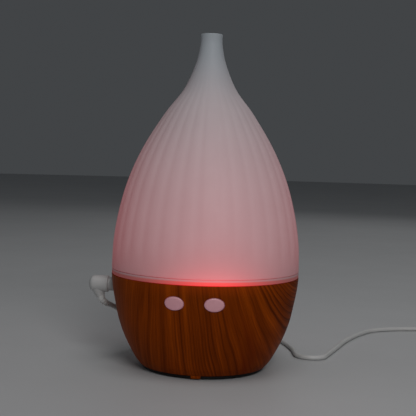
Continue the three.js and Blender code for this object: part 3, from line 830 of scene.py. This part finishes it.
def make_inner_cover():
    """The splash lid: a skirt in the tank's mouth, a rim on its flange, and a cone up into the chimney."""
    outline = [(43.8, 64), (45.2, 64), (45.2, 68.8), (60.2, 68.8), (60.2, 74), (58.7, 74), (58.7, 70.3),
               (46, 70.3), (42, 72), (20, 83), (11.5, 91), (8.6, 100), (8, 118), (6.3, 118), (6.9, 100),
               (10, 90), (19.2, 81.4), (41.5, 70.3), (43.8, 68.8)]
    radii = [0.5, 0.5, 0.4, 0.5, 0.6, 0.6, 0.5, 2.5, 3, 9, 6, 5, 0.7, 0.7, 5, 6, 9, 0.8, 0.5]
    cover = lathe("lid_shell", rounded_mm(outline, radii, 6), "inner_cover", "clear_frost", 160)
    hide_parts("inner_cover")


def make_tank():
    """The water tank, with its well for the mist disc, its air channel and the posts under it."""
    outline = [(8, 34), (12.2, 34), (12.2, 29.5), (16, 29.5), (16, 34), (42, 34), (45, 36.5),
               (48, 62), (52, 66.8), (61.4, 66.8), (61.4, 68.5), (49, 68.5), (46, 62), (43, 38.5),
               (41, 36.5), (8, 36.5)]
    radii = [0.3, 0.3, 0.3, 0.3, 0.3, 2, 2, 3, 2, 0.4, 0.5, 1.5, 3, 2, 2, 0.8]
    tank = lathe("tank_shell", rounded_mm(outline, radii, 5), "housing", "clear_frost", 120)
    channel_y = 30  # the air channel is open at both ends
    cut(tank, pillar(8.2, 34, 64, 0, channel_y, 40), "UNION")
    cut(tank, pillar(6.2, 33, 66, 0, channel_y, 40))
    for x, y in BASE_SCREWS:  # posts for the base plate's screws
        cut(tank, pillar(3.5, 7.2, 35, x, y, 24), "UNION")
        cut(tank, pillar(1.8, 6, 16.5, x, y, 16))
    probe = middle_mm("water_probe")
    cut(tank, pillar(1.8, 33, 38, probe.x, probe.y, 20))
    for level in (46, 56):                                      # raised water-level marks
        inside = 43 + (46 - 43) * (level - 38.5) / (62 - 38.5)  # the wall's inner radius there
        cut(tank, box_tool(6, 1.2, 0.5, 0, -(inside + 0.25), level), "UNION")
    finish_mesh(tank, 40)
    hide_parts("water_tank")


def make_light_ring():
    """The light guide between the bowl and the cover, with its seat on the tank's side."""
    outline = [(60.2, 62.5), (62.3, 62.5), (62.3, 65.2), (64.8, 65.2), (64.8, 68.8), (61.7, 68.8),
               (61.7, 66.5), (60.2, 66.5)]
    radii = [0.3, 0.3, 0.2, 0.45, 0.15, 0.3, 0.2, 0.3]
    ring = lathe("seam_ring", rounded_mm(outline, radii), "housing", "glow_ring", 240)
    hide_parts("light_ring")


make_inner_cover()
make_tank()
make_light_ring()


# ---------------------------------------------------------------- base

SHELL_OUTSIDE = [(r / MM, z / MM) for r, z in profile(SHELL_PROFILE, 12)]
CORNERS = ("front_left", "front_right", "rear_left", "rear_right")
KEY_LOW, KEY_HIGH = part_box("light_button")
FLANGE = 2.4  # a key's flange is this much wider than its face
BUTTON_X, BUTTON_Z = middle_mm("light_button").xz
BUTTON_W = (KEY_HIGH.x - KEY_LOW.x) / MM - FLANGE
BUTTON_H = (KEY_HIGH.z - KEY_LOW.z) / MM - FLANGE


def make_base_shell():
    """The wood-print bowl, with its two button windows, the hole for the plug and the catch at the front."""
    clearance, plug_hole = 0.6, 5 * MM
    outer = profile(SHELL_PROFILE, 12)
    shell = lathe("bowl_shell", shell_outline(outer, WALL, 0.5 * MM), "housing", "wood_print", 240)
    for side in (-1, 1):
        cut(shell, oval_tool(BUTTON_W + clearance, BUTTON_H + clearance, -70, -54, side * BUTTON_X, BUTTON_Z))
    cut(shell, rod((-70 * MM, 0, JACK_Z * MM), (-58 * MM, 0, JACK_Z * MM), plug_hole, 48))
    catch = box_tool(6.4, 1.8, 3.1, 0, -42.7, 2.45)
    soften(catch, 0.35 * MM, 3)
    cut(shell, catch, "UNION")
    finish_mesh(shell, 30)
    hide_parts("base_shell")


def make_base_plate():
    """The black plate under the bowl, with its air slots and recesses for the feet and screws."""
    outline = [(0, 0.7), (42.3, 0.7), (42.3, 2.6), (41, 2.6), (41, 6.2), (38.9, 6.2), (38.9, 2.6), (0, 2.6)]
    radii = [0, 0.6, 0.3, 0.1, 0.3, 0.3, 0.3, 0]
    plate = lathe("underside_plate", rounded_mm(outline, radii), "housing", "black_plastic", 160)
    for x, y in BASE_SCREWS:  # a boss, the head's recess and the shank's hole
        cut(plate, pillar(4.6, 2.1, 6.9, x, y, 32), "UNION")
        cut(plate, pillar(3.3, -0.3, 3.1, x, y, 32))
        cut(plate, pillar(1.8, 3, 8, x, y, 20))
    for corner in CORNERS:
        foot = middle_mm("foot_" + corner)
        cut(plate, pillar(4.4, -0.3, 1.7, foot.x, foot.y, 40))
    fan_y = middle_mm("fan_frame").y
    vent_radius, pitch = 15, 5.6  # five slots that fill a circle under the fan
    for i in range(-2, 3):
        reach = math.sqrt(vent_radius ** 2 - (i * pitch) ** 2)
        slot_tool = box_tool(3, 2 * reach, 5, i * pitch, fan_y, 1.6)
        soften(slot_tool, 1.2 * MM, 4)
        cut(plate, slot_tool)
    cut(plate, box_tool(7, 2, 8, 0, -42.4, 2))
    finish_mesh(plate, 40)
    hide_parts("base_plate")


def make_feet():
    """Four round rubber pads."""
    for corner in CORNERS:
        low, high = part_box("foot_" + corner)
        x, y, r = (low.x + high.x) / 2, (low.y + high.y) / 2, (high.x - low.x) / 2
        outline = rounded([(0, 0), (r, 0), (r, high.z), (0, high.z)], [0, 0.5 * MM, 0.2 * MM, 0])
        foot = lathe("pad_" + corner, outline, "housing", "foot_rubber", 40,
                     place=Matrix.Translation((x, y, 0)))
        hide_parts("foot_" + corner)


def shell_radius(z):
    """The bowl's outside radius in millimetres at a height in millimetres."""
    for (r0, z0), (r1, z1) in zip(SHELL_OUTSIDE, SHELL_OUTSIDE[1:]):
        if z0 <= z <= z1:
            return r0 + (r1 - r0) * (z - z0) / (z1 - z0)
    return SHELL_OUTSIDE[-1][0]


def make_button(name, side):
    """A pillowed oval key that follows the bowl's curve, with its flange and stem behind."""
    sides = 64
    centre_x = side * BUTTON_X
    proud = 0.6   # how far the face stands out of the bowl
    crown = 0.12  # and how much further its middle does
    edge = 0.74   # the part of the face inside its rounded edge
    edge_drop = 0.75
    rows = []

    def ring(width, height, depth):
        """One loop of the key. depth gives y in millimetres for a point of the oval."""
        loop = []
        for k in range(sides):
            a = TAU * k / sides
            x, z = centre_x + width / 2 * math.cos(a), BUTTON_Z + height / 2 * math.sin(a)
            loop.append((x * MM, depth(x, z) * MM, z * MM))
        rows.append(loop)

    def on_face(stand):
        return lambda x, z: -math.sqrt(max((shell_radius(z) + stand) ** 2 - x * x, 0))

    for part in (0.12, 0.3, 0.5, 0.66, edge, 0.82, 0.89, 0.94, 0.97, 0.99, 1.0):
        drop = 0 if part <= edge else 1 - math.sqrt(max(1 - ((part - edge) / (1 - edge)) ** 2, 0))
        ring(BUTTON_W * part, BUTTON_H * part, on_face(proud + crown * (1 - part * part) - edge_drop * drop))
    chamfer = FLANGE - 0.2
    for wider, y in ((0, -56.3), (chamfer, -56.2), (FLANGE, -56.1), (FLANGE, -55.1), (chamfer, -55.0)):
        ring(BUTTON_W + wider, BUTTON_H + wider, lambda x, z: y)
    for stem, y in ((3.4, -55.0), (3.4, -52.4), (3.0, -52.2)):
        ring(stem, stem, lambda x, z: y)
    verts = [v for row in rows for v in row]
    verts.append((centre_x * MM, on_face(proud + crown)(centre_x, BUTTON_Z) * MM, BUTTON_Z * MM))
    faces = bands(len(rows), sides)
    faces += [(len(verts) - 1, (k + 1) % sides, k) for k in range(sides)]
    faces.append(caps(len(rows), sides)[1])
    key = new_piece(name + "_key", verts, faces, name + "_button", "button_plastic", 40)
    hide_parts(name + "_button")


make_base_shell()
make_base_plate()
make_feet()
make_button("mist", -1)
make_button("light", 1)


# ---------------------------------------------------------------- plug and its relief

# Turns a lathe piece's axis to +X, at the socket's height.
ALONG_X = Matrix.Translation((0, 0, JACK_Z * MM)) @ Matrix.Rotation(math.radians(90), 4, "Y")


def make_plug():
    """A right-angle plug: a barrel-shaped body along X that flows into a funnel-shaped neck."""
    body = [(0, -82), (3.0, -82), (5.8, -79.8), (5.8, -68.3), (4.8, -68.3), (4.8, -64), (3.0, -64),
            (3.0, -67.0), (0, -67.0)]
    radii = [0, 2.0, 2.4, 0.5, 0.3, 0.4, 0.2, 0.2, 0]
    plug = lathe("plug_body", rounded_mm(body, radii, 6), "power_lead", "white_plastic", 64, place=ALONG_X)
    neck = [(-76.4, 55.6, 4.9), (-76, 53.2, 4.85), (-75.5, 51.2, 4.5), (-74.9, 49.4, 3.85),
            (-74.4, 48, 3.4), (-73.95, 46.9, 3.1), (-73.8, 46.5, 3)]  # x, z and radius down its length
    neck = tube_mesh([Vector((x, 0, z)) * MM for x, z, r in neck], [r * MM for x, z, r in neck], 48)
    cut(plug, scratch(*neck), "UNION")
    slope = box_tool(14, 14, 6, 0, 0, 0)  # cuts the elbow's outer corner off
    slope.matrix_world = (Matrix.Translation((-83.9 * MM, 0, 50.0 * MM))
                          @ Matrix.Rotation(math.radians(-117.7), 4, "Y"))
    cut(plug, slope)
    smooth_join(plug, 0.28 * MM, 5, "white_plastic")
    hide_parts("dc_plug")
    return plug


def make_relief():
    """The plug's tapered strain relief."""
    path = catmull([Vector(p) * MM for p in RELIEF_ROUTE], 14)
    path.insert(0, path[0] + Vector((-0.2, 0, 0.9)) * MM)  # begins inside the neck
    radii = ribbed_taper(len(path), 2.95, 1.9, 0.14, 6.5, 0.93, 0.8)
    relief = new_piece("plug_relief", *tube_mesh(path, radii, 28), "power_lead", "lead_plastic", 50)
    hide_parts("plug_strain_relief")
    return relief


def make_barrel():
    """The plug's metal barrel, in the socket."""
    outline = [(1.25, -66), (2.75, -66.7), (2.75, -56.5), (1.25, -56.5)]
    barrel = lathe("plug_tip", rounded_mm(outline, [0.1, 0.2, 0.5, 0.3]), "power_lead", "bright_steel", 48,
                   place=ALONG_X)
    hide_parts("plug_barrel")
    return barrel


plug_body = make_plug()
plug_relief = make_relief()
plug_tip = make_barrel()


# ---------------------------------------------------------------- wall adapter and the coil's tie

BLADE_NODES = ("adapter_blade_left", "adapter_blade_right")
QUARTER_TURN = [math.radians(15 * k) for k in range(7)]  # along a rounded edge


def make_adapter():
    """The wall adapter: a rounded case with a parting groove, a ribbed relief and slots for the blades."""
    seat = 3.7 * MM  # how deep the blades go into the case
    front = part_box(BLADE_NODES[0])[1].y - seat
    back = front + 50 * MM
    width, height = ADAPTER_HIGH.x - ADAPTER_LOW.x, ADAPTER_HIGH.z - ADAPTER_LOW.z
    centre_x, centre_y = (ADAPTER_LOW.x + ADAPTER_HIGH.x) / 2, (front + back) / 2
    edge = 2.2 * MM
    groove_edge, groove_depth = height / 2 - 0.28 * MM, 0.45 * MM
    lower = [(edge * (1 - math.cos(a)), edge * (1 - math.sin(a))) for a in QUARTER_TURN]
    lower += [(groove_edge - 0.15 * MM, 0), (groove_edge, 0.12 * MM),
              (groove_edge + 0.056 * MM, groove_depth)]
    levels = lower + [(height - z, off) for z, off in reversed(lower)]
    rows = []
    for z, off in levels:
        loop = rounded_rectangle(width - 2 * off, back - front - 2 * off, 5 * MM - off * 0.6)
        rows.append([(centre_x + x, centre_y + y, z) for x, y in loop])
    case = new_piece("adapter_case", *loft(rows), "power_lead", "white_plastic", 40)
    start = Vector((centre_x, back - 2 * MM, ADAPTER_CORD_Z))
    end = Vector((centre_x, ADAPTER_HIGH.y, ADAPTER_CORD_Z))
    count = 46
    path = [start.lerp(end, i / (count - 1)) for i in range(count)]
    cut(case, scratch(*tube_mesh(path, ribbed_taper(count, 3.7, 2.4, 0.28, 6, 0.95), 32)), "UNION")
    for node in BLADE_NODES:
        blade = middle_mm(node)
        cut(case, box_tool(2.1, 8, 6.9, blade.x, front / MM, blade.z))
    finish_mesh(case, 35)
    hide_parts("power_adapter")
    return case


def make_blade(node):
    """A flat contact blade with a rounded, chamfered tip and a round hole."""
    low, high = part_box(node)
    middle = (low.z + high.z) / 2
    half = (high.z - low.z) / 2
    tip = 2.0 * MM
    corner = [(low.y + tip * (1 - math.sin(a)), half - tip * (1 - math.cos(a))) for a in QUARTER_TURN]
    outline = [(high.y, middle - half), (high.y, middle + half)]
    outline += [(y, middle + z) for y, z in corner] + [(y, middle - z) for y, z in reversed(corner)]
    centre = Vector((sum(p[0] for p in outline) / len(outline), middle))
    rows = []
    chamfer = 0.25 * MM
    for x, shrink in ((low.x, chamfer), (low.x + chamfer, 0), (high.x - chamfer, 0), (high.x, chamfer)):
        rows.append([(x, y - math.copysign(shrink, y - centre.x), z - math.copysign(shrink, z - centre.y))
                     for y, z in outline])
    blade = new_piece(node.replace("adapter_", "wall_"), *loft(rows), "power_lead", "bearing_brass", 30)
    hole_y = low.y + 4.2 * MM
    cut(blade, rod((low.x - MM, hole_y, middle), (high.x + MM, hole_y, middle), 1.5 * MM, 32))
    finish_mesh(blade, 30)
    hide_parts(node)
    return blade


def make_tie():
    """A soft black strap round the coil, lapped on its outer side."""
    thick, wide = 0.7 * MM, TIE_HIGH.y - TIE_LOW.y
    middle_y = (TIE_LOW.y + TIE_HIGH.y) / 2
    left, right = TIE_LOW.x + thick / 2, TIE_HIGH.x - thick / 2
    low, high = TIE_LOW.z + thick / 2, TIE_HIGH.z - thick / 2
    shoulder = COIL_Z + 1.5 * CORD_D + thick / 2 + 0.2 * MM
    corner = 1.6 * MM
    bends = [(right - corner, low), (left + corner, low), (left, low + corner), (left, high - corner),
             (left + corner, high), (left + CORD_D + 0.2 * MM, high),
             (left + 2 * CORD_D, shoulder + 0.3 * MM),
             (right - corner, shoulder), (right, shoulder - corner), (right, low + corner)]
    loop = []
    for here, after in zip(bends, bends[1:] + bends[:1]):
        loop += [Vector(here).lerp(Vector(after), k / 6) for k in range(6)]
    count = len(loop)
    soft = [(loop[i - 1] + loop[i] * 2 + loop[(i + 1) % count]) / 4 for i in range(count)]
    verts = []
    across = (-0.5, -0.42, 0.42, 0.5)
    section = [(w, -0.5) for w in across] + [(w, 0.5) for w in reversed(across)]
    for i, p in enumerate(soft):
        along = (soft[(i + 1) % count] - soft[i - 1]).normalized()
        out = Vector((along.y, -along.x))
        for w, h in section:
            rim = 0.7 if abs(w) == 0.5 else 1.0
            q = p + out * h * thick * rim
            verts.append((q.x, middle_y + w * wide, q.y))
    faces = bands(count, len(section), closed=True)
    tie = new_piece("coil_tie", verts, faces, "power_lead", "black_plastic", 40)
    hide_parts("cord_tie")
    return tie


adapter_case = make_adapter()
wall_blades = [make_blade(node) for node in BLADE_NODES]
coil_tie = make_tie()


# ---------------------------------------------------------------- materials on the carried-over CAD nodes

def dress_cad_nodes():
    """Every CAD node that is still shown keeps its shape and takes its slot's material."""
    for name, node in frame["nodes"].items():
        material = MATERIALS[SLOT_OF[name]]
        for part in [node, *node.children_recursive]:
            for material_slot in part.material_slots:
                material_slot.link = "OBJECT"
                material_slot.material = material


dress_cad_nodes()


# ---------------------------------------------------------------- floor and light

def make_floor():
    """A plain pale floor."""
    sides, reach = 96, 6.0
    verts = [(reach * math.cos(TAU * k / sides), reach * math.sin(TAU * k / sides), 0) for k in range(sides)]
    mesh = bpy.data.meshes.new("floor")
    mesh.from_pydata(verts, [], [tuple(range(sides))])
    floor = add_object("floor", mesh)
    net = Net("floor")
    net.set(Base_Color=net.ramp(net.noise(net.mm, 0.004, 2.0),
                                [(0.3, (0.50, 0.505, 0.51)), (0.7, (0.53, 0.535, 0.54))]))
    net.set(Roughness=net.range(net.noise(net.mm, 0.02, 2.0), 0.2, 0.8, 0.5, 0.6), Specular_IOR_Level=0.3)
    mesh.materials.append(net.material)


def make_light(name, where, size, power):
    """A soft round lamp, aimed at the object."""
    target = Vector((0, 0, 0.1))
    data = bpy.data.lights.new(name, "AREA")
    data.shape = "DISK"
    data.size = size
    data.energy = power
    light = add_object(name, data)
    light.location = where
    light.rotation_euler = (target - Vector(where)).to_track_quat("-Z", "Y").to_euler()


def make_world():
    """Dim, even light from all round."""
    world = bpy.data.worlds.new("studio")
    world.use_nodes = True
    backdrop = world.node_tree.nodes["Background"]
    backdrop.inputs["Color"].default_value = (0.60, 0.64, 0.68, 1)
    backdrop.inputs["Strength"].default_value = 0.09
    bpy.context.scene.world = world


make_floor()
make_light("key", (0.52, -1.52, 1.0), 0.7, 10.5)
make_light("top", (0.15, -0.5, 1.7), 1.0, 5)
make_light("fill", (-1.4, -0.5, 0.8), 1.2, 0.6)
make_light("back", (0.3, 1.5, 1.0), 1.2, 1.6)
make_world()
bpy.context.scene.view_settings.view_transform = "Standard"
